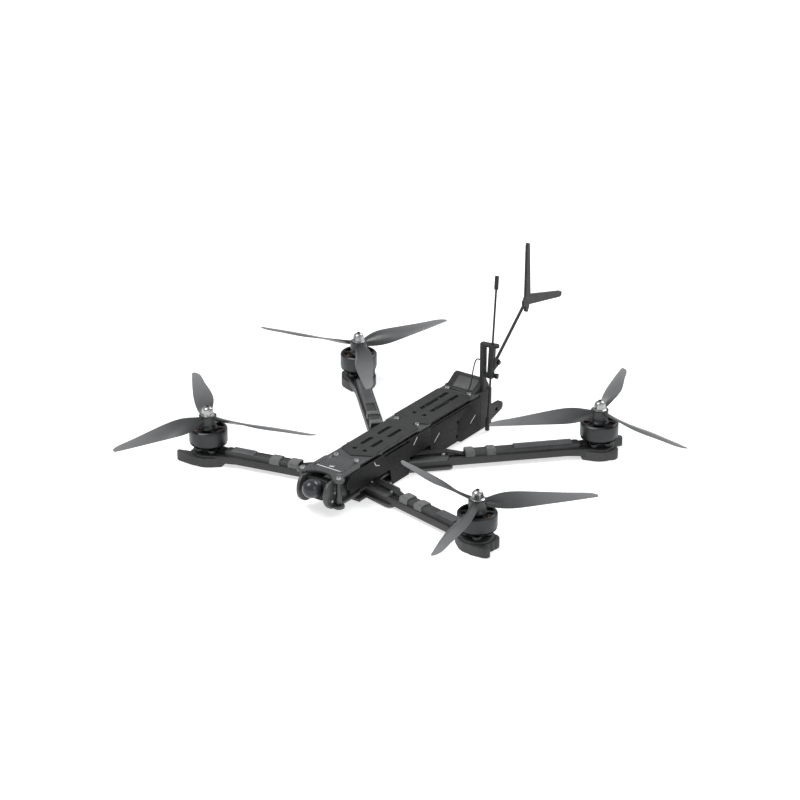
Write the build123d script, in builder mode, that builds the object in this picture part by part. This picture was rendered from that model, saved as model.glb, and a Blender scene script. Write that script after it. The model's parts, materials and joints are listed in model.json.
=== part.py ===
"""Nine-inch long-range quadcopter, as an assembly of separate named parts.

Frame: millimetres, +Z up, nose towards -Y, left side towards +X. The origin is on the centre line,
midway between the two motor rows, on the plane that the four landing feet stand on.
"""
from math import atan, cos, degrees, pi, radians, sin
import os

from build123d import *

# ---------------------------------------------------------------- driving dimensions
PROP_R = 114.3                      # nine-inch propeller
PROP_PITCH = 114.3
FRONT_MOTOR_X = 161.0
REAR_MOTOR_X = 148.5
MOTOR_Y = 118.1                     # half the distance between the motor rows
FRONT_ARM_ANGLE = 12.25             # sweep of each arm away from the X axis
REAR_ARM_ANGLE = 46.1

BODY_HALF = 21.0                    # half width of the plates between the side panels
PLATE_T = 2.5
BOTTOM_Z = 1.5
BOTTOM_T = 3.0
ARM_Z = BOTTOM_Z + BOTTOM_T
ARM_T = 7.0
ARM_W = 17.0
ARM_TOP = ARM_Z + ARM_T
MID_Z = ARM_TOP
DECK_LOW = MID_Z + PLATE_T          # upper face of the mid plate
STANDOFF_H = 25.0
TOP_Z = DECK_LOW + STANDOFF_H
TOP_FACE = TOP_Z + PLATE_T
PAD_T = 1.2
PAD_NOTCH_R = 4.2                   # clears the heads of the deck screws
PAD_FACE = TOP_FACE + PAD_T

M3_R = 1.5
M3_CLEAR_R = 1.6
M3_HEAD_R = 2.75
STANDOFF_R = 2.75
ARM_END_R = 16.0

BELL_R = 19.25
BELL_LOW = 20.5
BELL_TOP = 36.8
BELL_WALL = 1.65
MAGNET_T = 1.6
AIR_GAP = 0.5
SHAFT_R = 2.5
RUN_GAP = 0.04                      # radial running clearance
PROP_LOW = 41.0
PROP_HUB_H = 8.0
PROP_HUB_R = 8.8

CAMERA_Y = -147.0                   # tilt axis of the camera
CAMERA_Z = 26.0
CAMERA_TILT = 20.0                  # rest tilt above level
CHEEK_IN = 14.2                     # inner face of a camera cheek plate
CHEEK_T = 3.0

STACK_Y = -48.0
STACK_PITCH = 30.5
PAYLOAD_Y = 60.0

TAIL_Y = 105.0                      # rear end of the top plate
MAST_X = 18.5
MAST_Y = 103.5
MAST_TOP = 94.0
ROD_X = 28.0                        # control antenna and video boom plane
ROD_LEAN = degrees(atan(15.5 / 180.6))
FIT = 0.1                           # gap between parts that aren't fastened face to face

os.makedirs("parts", exist_ok=True)


def save(part, name):
    """Label a finished piece and write it as one STEP file."""
    part.label = name
    export_step(part, f"parts/{name}.step")


def level(height):
    """A horizontal sketch plane."""
    return Plane.XY.offset(height)


# ---------------------------------------------------------------- corners and arm frames
# name: (left or right side, front or rear row, blade angle at rest, spin seen from above)
CORNERS = {
    "front_left": (1, -1, 44.4, 1),
    "front_right": (-1, -1, 14.8, -1),
    "rear_left": (1, 1, 108.4, -1),
    "rear_right": (-1, 1, 72.2, 1),
}


def motor_centre(corner):
    side, row = CORNERS[corner][:2]
    return side * (FRONT_MOTOR_X if row < 0 else REAR_MOTOR_X), row * MOTOR_Y


def arm_frame(corner, height):
    """Sketch plane on an arm: origin under the motor, local X inward along the arm."""
    side, row = CORNERS[corner][:2]
    angle = radians(FRONT_ARM_ANGLE if row < 0 else REAR_ARM_ANGLE)
    x, y = motor_centre(corner)
    inward = (-side * cos(angle), -row * sin(angle), 0)
    return Plane(origin=(x, y, height), x_dir=inward, z_dir=(0, 0, 1))


def arm_length(corner):
    """Distance from the motor to the centre line along the arm."""
    side, row = CORNERS[corner][:2]
    angle = radians(FRONT_ARM_ANGLE if row < 0 else REAR_ARM_ANGLE)
    return abs(motor_centre(corner)[0]) / cos(angle)


def root_bolts(corner):
    """Distances from the motor of the two bolts that hold an arm's root."""
    return (118.0, 147.0) if CORNERS[corner][1] < 0 else (159.0, 195.0)


def wing_start(corner):
    """Distance from the motor at which the plates' wings begin."""
    return 110.0 if CORNERS[corner][1] < 0 else 150.0


def long_lobe_side(corner):
    """Side of the arm, in arm frame Y, on which the motor guard's long skid lies."""
    side, row = CORNERS[corner][:2]
    return -side * row


deck_posts = [(21.4, -146.8), (11.9, -105.5), (12.1, -4.2), (13.2, 86.0)]
all_posts = [(sign * x, y) for x, y in deck_posts for sign in (1, -1)]

# ---------------------------------------------------------------- carbon plates
EAR_R = 5.6
NOSE_APEX = -141.5
nose_x, nose_y = deck_posts[0]
cut_half = nose_x - EAR_R
cut_depth = 8.5
cut_r = (cut_half**2 + cut_depth**2) / (2 * cut_depth)


BOTTOM_NOSE = -110.0                # the bottom plate stops short of the camera
NOSE_CUT = 50.0
FLANK_END = 93.0                    # rear end of the flanks and of the side panels
TONGUE_HALF = 14.5


def body_outline(with_tongue):
    """Body plate from nose to tail: ears, waist, flanks and, on the top plate, a rear tongue."""
    with BuildSketch() as outline:
        with BuildLine():
            Polyline(
                (0, -150), (nose_x, -150), (BODY_HALF, -140), (BODY_HALF, -112), (18.6, -109), (18.6, -79),
                (BODY_HALF, -76), (18.9, -72), (18.9, -16), (BODY_HALF, -11), (BODY_HALF, 6),
                (19.2, 10), (19.2, 76), (BODY_HALF, 80), (BODY_HALF, FLANK_END), (0, FLANK_END),
                close=True,
            )
        make_face()
        if with_tongue:
            with Locations((0, (FLANK_END + TAIL_Y) / 2 - 2)):
                Rectangle(2 * TONGUE_HALF, TAIL_Y - FLANK_END + 4)
        with Locations((nose_x, nose_y)):
            Circle(EAR_R)
        mirror(about=Plane.YZ)
        with Locations((0, NOSE_APEX - cut_r)):
            Circle(cut_r, mode=Mode.SUBTRACT)
        with Locations((0, -152)):
            Rectangle(2 * cut_half, 8, mode=Mode.SUBTRACT)
    return outline.sketch


def wings(height, start, half_width):
    """The four rounded wings of a plate, one over or under each arm root."""
    shapes = []
    for corner in CORNERS:
        begin = wing_start(corner) + start
        reach = arm_length(corner) - begin
        with BuildSketch(arm_frame(corner, height)) as wing:
            with Locations((begin + reach / 2, 0)):
                RectangleRounded(reach, 2 * half_width, 6)
        shapes.append(wing.sketch)
    return shapes


def root_bolt_holes(plate_low, thickness, radius):
    """Cut the arm root bolt holes through the part being built."""
    for corner in CORNERS:
        with BuildSketch(arm_frame(corner, plate_low)) as holes:
            with Locations(*[(along, 0) for along in root_bolts(corner)]):
                Circle(radius)
        extrude(holes.sketch, amount=thickness, mode=Mode.SUBTRACT)


# slanted slots on both sides of the centre line: five pairs in the pad, one pair through the plate
STRAP_IN = 4.0
STRAP_OUT = 8.5
pad_spans = [(-86.5, -80.5), (-73.5, -53.5), (-45.5, -22.8), (14.5, 20.5), (27.5, 77)]
strap_spans = [(38, 62)]


def slanted_slots(spans):
    """Mirrored pairs of slots with slanted ends, along Y."""
    with BuildSketch() as slots:
        for begin, end in spans:
            with BuildLine() as outline:
                Polyline(
                    (STRAP_IN, begin), (STRAP_OUT, begin + 1.5), (STRAP_OUT, end - 1.5), (STRAP_IN, end),
                    close=True,
                )
            make_face(outline.edges())
        mirror(about=Plane.YZ)
    return slots.sketch


with BuildPart() as bottom_plate:
    add(Pos(0, 0, BOTTOM_Z) * body_outline(with_tongue=False))
    add(wings(BOTTOM_Z, 0, 11.0))
    extrude(amount=BOTTOM_T)
    with BuildSketch(level(BOTTOM_Z)):
        with Locations((0, BOTTOM_NOSE - NOSE_CUT / 2)):
            Rectangle(2 * NOSE_CUT, NOSE_CUT)
    extrude(amount=BOTTOM_T, mode=Mode.SUBTRACT)
    root_bolt_holes(BOTTOM_Z, BOTTOM_T, M3_CLEAR_R)
    with BuildSketch(level(BOTTOM_Z)):
        with Locations((0, PAYLOAD_Y)):
            with GridLocations(STACK_PITCH, STACK_PITCH, 2, 2):
                Circle(M3_CLEAR_R)
        with Locations((0, STACK_Y)):
            with GridLocations(STACK_PITCH, STACK_PITCH, 2, 2):
                Circle(M3_CLEAR_R)
        with Locations((0, 20), (0, -86)):
            SlotOverall(26, 9)
    extrude(amount=BOTTOM_T, mode=Mode.SUBTRACT)
save(bottom_plate.part, "bottom_plate")

with BuildPart() as mid_plate:
    add(Pos(0, 0, MID_Z) * body_outline(with_tongue=False))
    add(wings(MID_Z, 4, 10.5))
    extrude(amount=PLATE_T)
    root_bolt_holes(MID_Z, PLATE_T, M3_CLEAR_R)
    with BuildSketch(level(MID_Z)):
        with Locations(*all_posts):
            Circle(M3_CLEAR_R)
        with Locations((0, STACK_Y)):
            with GridLocations(STACK_PITCH, STACK_PITCH, 2, 2):
                Circle(M3_CLEAR_R)
        with Locations((0, PAYLOAD_Y)):
            RectangleRounded(20, 44, 4)
        with Locations((0, -150)):
            Rectangle(2 * (CHEEK_IN + CHEEK_T + FIT), 17)
    extrude(amount=PLATE_T, mode=Mode.SUBTRACT)
save(mid_plate.part, "mid_plate")

with BuildPart() as top_plate:
    add(Pos(0, 0, TOP_Z) * body_outline(with_tongue=True))
    extrude(amount=PLATE_T)
    with BuildSketch(level(TOP_Z)):
        with Locations(*all_posts):
            Circle(M3_CLEAR_R)
        with Locations((15.6, -134), (15.6, -128), (-15.6, -134), (-15.6, -128)):
            Circle(0.9)
    extrude(amount=PLATE_T, mode=Mode.SUBTRACT)
    with BuildSketch(level(TOP_Z)):
        add(slanted_slots(strap_spans))
    extrude(amount=PLATE_T, mode=Mode.SUBTRACT)
save(top_plate.part, "top_plate")

with BuildPart() as battery_pad:
    with BuildSketch(level(TOP_FACE)):
        with BuildLine():
            Polyline(
                (0, -98.4), (17.5, -89.5), (18.3, -88), (18.3, -10.5), (14, -8.2), (14, 0), (20.4, 2.8),
                (20.4, 79), (16, 82), (16, 88.4), (10, 88.4), (10, 82.5), (0, 82.5), close=True,
            )
        make_face()
        mirror(about=Plane.YZ)
        with Locations(*all_posts):
            Circle(PAD_NOTCH_R, mode=Mode.SUBTRACT)
        add(slanted_slots(pad_spans), mode=Mode.SUBTRACT)
    extrude(amount=PAD_T)
save(battery_pad.part, "battery_pad")

# ---------------------------------------------------------------- arms
MOTOR_HOLE = 9.5                    # radius of the motor's four screw holes

for corner in CORNERS:
    outer_width = 1.75 * ARM_END_R
    taper_end = 34.0
    length = arm_length(corner)
    with BuildPart() as arm:
        with BuildSketch(arm_frame(corner, ARM_Z)):
            Circle(ARM_END_R)
            with BuildLine():
                Polyline(
                    (5, outer_width / 2), (taper_end, ARM_W / 2), (length + 30, ARM_W / 2),
                    (length + 30, -ARM_W / 2), (taper_end, -ARM_W / 2), (5, -outer_width / 2),
                    close=True,
                )
            make_face()
            Circle(4, mode=Mode.SUBTRACT)
            with Locations(Rotation(0, 0, 45)):
                with PolarLocations(MOTOR_HOLE, 4):
                    Circle(M3_CLEAR_R, mode=Mode.SUBTRACT)
            with Locations(*[(along, 0) for along in root_bolts(corner)]):
                Circle(M3_CLEAR_R, mode=Mode.SUBTRACT)
        extrude(amount=ARM_T)
        centre_gap = 1.5 * CORNERS[corner][0]
        keep_side = Keep.TOP if CORNERS[corner][0] > 0 else Keep.BOTTOM
        split(bisect_by=Plane.YZ.offset(centre_gap), keep=keep_side)
    save(arm.part, f"arm_{corner}")

# ---------------------------------------------------------------- side panels
PANEL_T = 1.2
PANEL_X = BODY_HALF + FIT
PANEL_FOOT = 19.2                   # lower edge over the arm roots, clear of the wires
PANEL_NOSE = -130.0
front_drop = -60.0                  # the panel reaches the bottom plate behind the front arm
rear_notch = (-32.0, 5.0)

for side, name in ((1, "side_panel_left"), (-1, "side_panel_right")):
    with BuildPart() as side_panel:
        with BuildSketch(Plane.YZ.offset(side * PANEL_X)):
            with BuildLine():
                Polyline(
                    (PANEL_NOSE, PANEL_FOOT), (PANEL_NOSE, 23), (PANEL_NOSE - 5, 26), (PANEL_NOSE - 5, 32),
                    (PANEL_NOSE, 36), (PANEL_NOSE + 3, TOP_Z), (FLANK_END, TOP_Z), (FLANK_END, BOTTOM_Z),
                    (59, BOTTOM_Z), (52, 5), (rear_notch[1], 5), (rear_notch[1], PANEL_FOOT),
                    (rear_notch[0], PANEL_FOOT), (rear_notch[0], BOTTOM_Z),
                    (front_drop, BOTTOM_Z), (front_drop - 4, PANEL_FOOT),
                    close=True,
                )
            make_face()
            with Locations((-52, TOP_Z - 2.2)):
                SlotOverall(42, 2.6, mode=Mode.SUBTRACT)
            with Locations((39, TOP_Z - 1.6)):
                SlotOverall(68, 1.2, mode=Mode.SUBTRACT)
            with Locations((51.5, 10.4), (53, 25.9)):
                Circle(1.7, mode=Mode.SUBTRACT)
        extrude(amount=side * PANEL_T)
        panel_edges = side_panel.edges().filter_by(Axis.X)
        fillet(panel_edges.group_by(Axis.Z)[-1], 1.0)
    save(side_panel.part, name)

# ---------------------------------------------------------------- standoffs and frame screws
with BuildPart() as standoffs:
    with BuildSketch(level(DECK_LOW)):
        with Locations(*all_posts):
            Circle(STANDOFF_R)
            Circle(M3_R, mode=Mode.SUBTRACT)
    extrude(amount=STANDOFF_H)
save(standoffs.part, "standoffs")

SCREW_HEAD_H = 2.0
screw_reach = 7.0


def button_head(plane_low, positions, height, radius=M3_HEAD_R):
    """Rounded screw heads with a hexagon socket, standing on a plane."""
    with BuildSketch(plane_low) as heads:
        with Locations(*positions):
            Circle(radius)
    extrude(heads.sketch, amount=height, taper=14)
    with BuildSketch(plane_low.offset(height)) as sockets:
        with Locations(*positions):
            RegularPolygon(1.15, 6)
    extrude(sockets.sketch, amount=-0.6 * height, mode=Mode.SUBTRACT)


with BuildPart() as frame_screws:
    button_head(level(TOP_FACE), all_posts, SCREW_HEAD_H)
    with BuildSketch(level(TOP_FACE - screw_reach)):
        with Locations(*all_posts):
            Circle(M3_R)
    extrude(amount=screw_reach)
    lower_face = Plane((0, 0, MID_Z), x_dir=(1, 0, 0), z_dir=(0, 0, -1))
    ear_posts = [(x, -y) for x, y in all_posts if y < NOSE_APEX]
    button_head(lower_face, ear_posts, SCREW_HEAD_H)
    with BuildSketch(level(MID_Z)):
        with Locations(*[(x, -y) for x, y in ear_posts]):
            Circle(M3_R)
    extrude(amount=screw_reach)
    for corner in CORNERS:
        bolts = [(along, 0) for along in root_bolts(corner)]
        button_head(arm_frame(corner, DECK_LOW), bolts, SCREW_HEAD_H)
        with BuildSketch(arm_frame(corner, BOTTOM_Z - 1.2)):
            with Locations(*bolts):
                RegularPolygon(3.0, 6)
        extrude(amount=1.2)
        with BuildSketch(arm_frame(corner, BOTTOM_Z)):
            with Locations(*bolts):
                Circle(M3_R)
        extrude(amount=DECK_LOW - BOTTOM_Z)
save(frame_screws.part, "frame_screws")

# ---------------------------------------------------------------- motor guards (landing feet)
GUARD_R = 18.2
GUARD_H = 9.5
GUARD_FLOOR = ARM_Z - FIT
SKID_OUT = 17.6
# tip of each guard's long skid: outward and sideways from the motor
SKID_TIPS = {
    "front_left": (25.0, 11.0), "front_right": (30.0, 11.0),
    "rear_left": (28.5, 18.5), "rear_right": (28.5, 18.5),
}

with BuildPart() as motor_guards:
    for corner in CORNERS:
        lobe = long_lobe_side(corner)
        reach, aside = SKID_TIPS[corner]
        with BuildSketch(arm_frame(corner, 0)):
            Circle(GUARD_R)
            with BuildLine():
                Polyline(
                    (0, SKID_OUT), (9, SKID_OUT - 1.5), (19, 10.5), (19, -10.5), (9, 1.5 - SKID_OUT),
                    (0, -SKID_OUT), close=True,
                )
            make_face()
            with BuildLine():
                Polyline(
                    (0, lobe * 5), (-reach, lobe * (aside - 4)), (-reach, lobe * aside),
                    (3 - reach, lobe * (aside + 2.5)), (-10, lobe * SKID_OUT), (0, lobe * SKID_OUT),
                    close=True,
                )
            make_face()
            with Locations((-9.5, -lobe * 9)):
                Circle(8.0)
            with BuildLine():
                Polyline(
                    (-reach - 2, -lobe * 2), (-reach - 2, lobe * 5),
                    (-17.5, lobe * 3), (-17.5, -lobe * 2), close=True,
                )
            make_face(mode=Mode.SUBTRACT)
        extrude(amount=GUARD_H)
        with BuildSketch(arm_frame(corner, GUARD_FLOOR)):
            Circle(ARM_END_R + FIT)
            with BuildLine():
                half_end = 0.875 * ARM_END_R + FIT
                half_arm = ARM_W / 2 + FIT
                Polyline(
                    (5, half_end), (34, half_arm), (34, -half_arm), (5, -half_end),
                    close=True,
                )
            make_face()
        extrude(amount=GUARD_H, mode=Mode.SUBTRACT)
        with BuildSketch(arm_frame(corner, 0)):
            Circle(5)
            with Locations(Rotation(0, 0, 45)):
                with PolarLocations(MOTOR_HOLE, 4):
                    Circle(3.2)
        extrude(amount=GUARD_FLOOR, mode=Mode.SUBTRACT)
save(motor_guards.part, "motor_guards")

# ---------------------------------------------------------------- motors: fixed parts
BASE_T = 4.0
BASE_TOP = ARM_TOP + BASE_T
TUBE_IN = 5.5
TUBE_OUT = 7.0
TUBE_TOP = 33.0
STATOR_R = BELL_R - BELL_WALL - MAGNET_T - AIR_GAP
STATOR_LOW = 24.0
STATOR_H = 8.0
TEETH = 12
TOOTH_W = 2.4
COIL_W = 4.2
COIL_OVER = 1.0
COIL_IN = 9.4
COIL_OUT = STATOR_R - 1.7
BEARING_H = 4.0
lower_bearing = BASE_TOP + 2.0
upper_bearing = TUBE_TOP - BEARING_H

motor_places = {corner: Location((*motor_centre(corner), 0)) for corner in CORNERS}
arm_turn = {corner: arm_frame(corner, 0).location for corner in CORNERS}

with BuildPart() as motor_base:
    with BuildSketch(level(ARM_TOP)):
        Circle(9.5)
        with Locations(Rotation(0, 0, 45)):
            with PolarLocations(MOTOR_HOLE, 4):
                Circle(4.4)
        Circle(4.5, mode=Mode.SUBTRACT)
        with Locations(Rotation(0, 0, 45)):
            with PolarLocations(MOTOR_HOLE, 4):
                Circle(M3_R, mode=Mode.SUBTRACT)
    extrude(amount=BASE_T)
    with BuildSketch(Plane.XZ):
        with BuildLine():
            Polyline(
                (4.5, BASE_TOP), (10.0, BASE_TOP), (11.5, 18.6), (15.4, 19.4), (18.7, BELL_LOW - 0.4),
                (17.2, BELL_LOW - 0.4), (14.0, 21.0), (TUBE_OUT, 21.0), (TUBE_OUT, TUBE_TOP),
                (TUBE_IN, TUBE_TOP), (TUBE_IN, lower_bearing), (4.5, lower_bearing),
                close=True,
            )
        make_face()
    revolve(axis=Axis.Z)
    with BuildSketch(level(BASE_TOP)):
        with PolarLocations(12.6, 8):
            Circle(1.7)
    extrude(amount=TUBE_TOP, mode=Mode.SUBTRACT)

with BuildPart() as motor_bases:
    with Locations(*arm_turn.values()):
        add(motor_base.part)
save(motor_bases.part, "motor_bases")

with BuildPart() as stator:
    with BuildSketch(level(STATOR_LOW)):
        Circle(9.0)
        with PolarLocations(9.0 + (STATOR_R - 9.0) / 2 - 0.5, TEETH):
            Rectangle(STATOR_R - 9.0, TOOTH_W)
        Circle(STATOR_R - 1.4, mode=Mode.INTERSECT)
        with BuildSketch(mode=Mode.PRIVATE) as shoes:
            Circle(STATOR_R)
            Circle(STATOR_R - 1.5, mode=Mode.SUBTRACT)
            with PolarLocations(STATOR_R, TEETH, start_angle=180 / TEETH):
                Rectangle(4, 1.4, mode=Mode.SUBTRACT)
        add(shoes.sketch)
        Circle(TUBE_OUT, mode=Mode.SUBTRACT)
    extrude(amount=STATOR_H)

with BuildPart() as stators:
    with Locations(*motor_places.values()):
        add(stator.part)
save(stators.part, "stators")

with BuildPart() as coil:
    coil_length = COIL_OUT - COIL_IN
    coil_centre = (COIL_IN + COIL_OUT) / 2
    with Locations((coil_centre, 0, STATOR_LOW + STATOR_H / 2)):
        Box(coil_length, COIL_W, STATOR_H + 2 * COIL_OVER)
    fillet(coil.edges().filter_by(Axis.X), 1.0)
    with Locations((coil_centre, 0, STATOR_LOW + STATOR_H / 2)):
        Box(coil_length, TOOTH_W, STATOR_H, mode=Mode.SUBTRACT)

with BuildPart() as windings:
    for place in motor_places.values():
        with Locations(place):
            with PolarLocations(0, TEETH):
                add(coil.part)
save(windings.part, "windings")

with BuildPart() as bearings:
    for place in motor_places.values():
        with Locations(place):
            with Locations((0, 0, lower_bearing), (0, 0, upper_bearing)):
                Cylinder(TUBE_IN, BEARING_H, align=(Align.CENTER, Align.CENTER, Align.MIN))
                Cylinder(
                    SHAFT_R + RUN_GAP, BEARING_H,
                    align=(Align.CENTER, Align.CENTER, Align.MIN), mode=Mode.SUBTRACT,
                )
save(bearings.part, "bearings")

with BuildPart() as motor_screws:
    for corner in CORNERS:
        with BuildSketch(arm_frame(corner, ARM_Z)):
            with Locations(Rotation(0, 0, 45)):
                with PolarLocations(MOTOR_HOLE, 4):
                    Circle(M3_R)
        extrude(amount=ARM_T + BASE_T - 0.5)
        with BuildSketch(arm_frame(corner, ARM_Z - 2.4)):
            with Locations(Rotation(0, 0, 45)):
                with PolarLocations(MOTOR_HOLE, 4):
                    Circle(M3_HEAD_R)
                    RegularPolygon(1.15, 6, mode=Mode.SUBTRACT)
        extrude(amount=2.4)
save(motor_screws.part, "motor_screws")

# ---------------------------------------------------------------- motors: turning parts
MAGNETS = 14
magnet_out = BELL_R - BELL_WALL
magnet_in = magnet_out - MAGNET_T
CAP_T = 2.0
WINDOWS = 6

with BuildPart() as bell:
    with BuildSketch(Plane.XZ):
        with BuildLine():
            Polyline(
                (magnet_out, BELL_LOW), (BELL_R - 1.3, BELL_LOW), (BELL_R, BELL_LOW + 1.8),
                (BELL_R, BELL_TOP - 1.6), (BELL_R - 1.6, BELL_TOP), (9.0, BELL_TOP),
                (7.2, PROP_LOW - 1.4), (7.2, PROP_LOW), (SHAFT_R, PROP_LOW),
                (SHAFT_R, TUBE_TOP + 0.4), (6.5, TUBE_TOP + 0.4), (8.5, BELL_TOP - CAP_T),
                (magnet_out, BELL_TOP - CAP_T), close=True,
            )
        make_face()
    revolve(axis=Axis.Z)
    with BuildSketch(level(BELL_TOP - CAP_T - 1)):
        with BuildSketch(mode=Mode.PRIVATE) as window_ring:
            Circle(15.8)
            Circle(9.6, mode=Mode.SUBTRACT)
            with PolarLocations(12, WINDOWS, start_angle=30):
                Rectangle(14, 3.0, mode=Mode.SUBTRACT)
        add(window_ring.sketch)
    extrude(amount=CAP_T + 2, mode=Mode.SUBTRACT)

with BuildPart() as magnet_ring:
    with BuildSketch(level(STATOR_LOW)):
        Circle(magnet_out)
        Circle(magnet_in, mode=Mode.SUBTRACT)
        with PolarLocations(magnet_out, MAGNETS):
            Rectangle(6, 1.0, mode=Mode.SUBTRACT)
    extrude(amount=STATOR_H)

with BuildPart() as motor_shaft:
    with BuildSketch(Plane.XZ):
        with BuildLine():
            Polyline(
                (0, BASE_TOP + 0.6), (3.6, BASE_TOP + 0.6), (3.6, BASE_TOP + 1.4),
                (SHAFT_R, BASE_TOP + 1.4), (SHAFT_R, 58.0), (SHAFT_R - 0.6, 58.6), (0, 58.6),
                close=True,
            )
        make_face()
    revolve(axis=Axis.Z)

NUT_LOW = PROP_LOW + PROP_HUB_H

with BuildPart() as prop_nut:
    with BuildSketch(Plane.XZ):
        with BuildLine():
            Polyline(
                (SHAFT_R, NUT_LOW), (6.4, NUT_LOW), (6.4, NUT_LOW + 0.9), (4.9, NUT_LOW + 1.5),
                (4.9, 55.6), (3.6, 57.2), (SHAFT_R, 57.2), close=True,
            )
        make_face()
    revolve(axis=Axis.Z)
    with BuildSketch(level(NUT_LOW + 1.5)):
        Circle(7)
        RegularPolygon(4.0, 6, major_radius=False, mode=Mode.SUBTRACT)
    extrude(amount=9, mode=Mode.SUBTRACT)

# blade stations: radius, leading edge offset, trailing edge offset, section thickness
BLADE_STATIONS = (
    (4.5, 4.2, -4.2, 4.6),
    (14.0, 7.2, -5.8, 3.6),
    (30.0, 10.6, -8.4, 2.6),
    (50.0, 10.6, -9.2, 2.1),
    (75.0, 7.6, -8.2, 1.7),
    (95.0, 5.0, -6.6, 1.3),
    (109.0, 2.6, -5.2, 1.0),
    (PROP_R, -0.8, -4.6, 0.7),
)
MAX_TWIST = 34.0


def build_blade(spin):
    """One blade along +X about the hub centre; spin is +1 counter-clockwise, -1 clockwise."""
    with BuildPart() as blade:
        for radius, lead, trail, thick in BLADE_STATIONS:
            twist = radians(min(MAX_TWIST, degrees(atan(PROP_PITCH / (2 * pi * radius)))))
            chord = lead - trail
            middle = (lead + trail) / 2
            edge_rise = chord / 2 * sin(twist)
            edge_run = chord / 2 * cos(twist)
            front = (spin * (middle + edge_run), edge_rise)
            back = (spin * (middle - edge_run), -edge_rise)
            above = (spin * (middle - sin(twist) * thick), cos(twist) * thick * 0.8)
            below = (spin * middle, -thick * 0.2)
            station = Plane(origin=(radius, 0, 0), x_dir=(0, 1, 0), z_dir=(1, 0, 0))
            with BuildSketch(station):
                with BuildLine():
                    ThreePointArc(front, above, back)
                    ThreePointArc(back, below, front)
                make_face()
        loft()
    return blade.part


blades = {spin: build_blade(spin) for spin in (1, -1)}
HUB_MIDDLE = PROP_LOW + PROP_HUB_H / 2

for corner, (side, row, blade_angle, spin) in CORNERS.items():
    place = motor_places[corner]
    with BuildPart() as rotor_bell:
        with Locations(place):
            add(bell.part)
    save(rotor_bell.part, f"bell_{corner}")

    with BuildPart() as rotor_magnets:
        with Locations(place):
            add(magnet_ring.part)
    save(rotor_magnets.part, f"magnets_{corner}")

    with BuildPart() as rotor_shaft:
        with Locations(place):
            add(motor_shaft.part)
    save(rotor_shaft.part, f"shaft_{corner}")

    with BuildPart() as rotor_nut:
        with Locations(place):
            add(prop_nut.part)
    save(rotor_nut.part, f"prop_nut_{corner}")

    with BuildPart() as propeller:
        with Locations(place * Location((0, 0, HUB_MIDDLE), (0, 0, blade_angle))):
            with PolarLocations(0, 3):
                add(blades[spin])
            Cylinder(PROP_HUB_R, PROP_HUB_H)
            Cylinder(SHAFT_R, PROP_HUB_H + 2, mode=Mode.SUBTRACT)
    save(propeller.part, f"propeller_{corner}")

# ---------------------------------------------------------------- arm wiring
WIRE_R = 1.1
WIRE_PITCH = 2.3
WIRE_END_X = 15.5                   # how near the centre line the motor wires reach
SLEEVE_W = 12.0
SLEEVE_H = 5.0
SLEEVE_START = 21.0
BAND_T = 0.7
COVER_H = 1.0
bands = {-1: ((70.0, 80.5), (90.0, 101.0)), 1: ((106.5, 115.0), (128.0, 137.0))}
covers = {-1: (27.0, 51.5), 1: (28.0, 87.5)}

with BuildPart() as motor_wires:
    for corner in CORNERS:
        wing = wing_start(corner) + 4
        inner_end = arm_length(corner) * (1 - WIRE_END_X / abs(motor_centre(corner)[0]))
        for lane in (-WIRE_PITCH, 0, WIRE_PITCH):
            frame = arm_frame(corner, ARM_TOP)
            low = WIRE_R + 0.15
            high = PLATE_T + SCREW_HEAD_H + WIRE_R + 0.2
            route = [
                (11.8, lane, low), (wing - 16, lane, low), (wing + 1, lane, high), (inner_end, lane, high),
            ]
            points = [frame.from_local_coords(Vector(*point)) for point in route]
            with BuildLine() as path:
                FilletPolyline(*points, radius=6)
            with BuildSketch(Plane(origin=path.line @ 0, z_dir=path.line % 0)):
                Circle(WIRE_R)
            sweep(path=path.line)
save(motor_wires.part, "motor_wires")


def over_arm(corner, begin, end, width, height, rise=0.0):
    """A block standing on top of an arm between two distances from the motor."""
    with BuildSketch(arm_frame(corner, ARM_TOP + rise)) as footprint:
        with Locations(((begin + end) / 2, 0)):
            Rectangle(end - begin, width)
    extrude(footprint.sketch, amount=height)


with BuildPart() as wire_sleeves:
    for corner in CORNERS:
        sleeve_end = wing_start(corner) - 14
        over_arm(corner, SLEEVE_START, sleeve_end, SLEEVE_W, SLEEVE_H)
        with BuildSketch(arm_frame(corner, ARM_TOP)):
            with Locations(((SLEEVE_START + sleeve_end) / 2, 0)):
                Rectangle(sleeve_end - SLEEVE_START, 8)
        extrude(amount=3.0, mode=Mode.SUBTRACT)
    top_edges = wire_sleeves.edges().filter_by(lambda edge: edge.center().Z > ARM_TOP + SLEEVE_H - 0.1)
    long_edges = top_edges.filter_by(lambda edge: edge.length > SLEEVE_W + 1)
    fillet(long_edges, 1.4)
save(wire_sleeves.part, "wire_sleeves")

with BuildPart() as wire_bands:
    for corner in CORNERS:
        for begin, end in bands[CORNERS[corner][1]]:
            gap = 0.05
            over_arm(corner, begin, end, SLEEVE_W + 2 * (gap + BAND_T), SLEEVE_H + gap + BAND_T)
            with BuildSketch(arm_frame(corner, ARM_TOP)):
                with Locations(((begin + end) / 2, 0)):
                    Rectangle(end - begin, SLEEVE_W + 2 * gap)
            extrude(amount=SLEEVE_H + gap, mode=Mode.SUBTRACT)
save(wire_bands.part, "wire_bands")

with BuildPart() as arm_covers:
    for corner in CORNERS:
        begin, end = covers[CORNERS[corner][1]]
        over_arm(corner, begin, end, SLEEVE_W - 1.4, COVER_H, SLEEVE_H)
    cover_tops = arm_covers.faces().filter_by(Axis.Z).group_by(Axis.Z)[-1]
    chamfer(cover_tops.edges(), 0.6)
save(arm_covers.part, "arm_covers")

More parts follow.
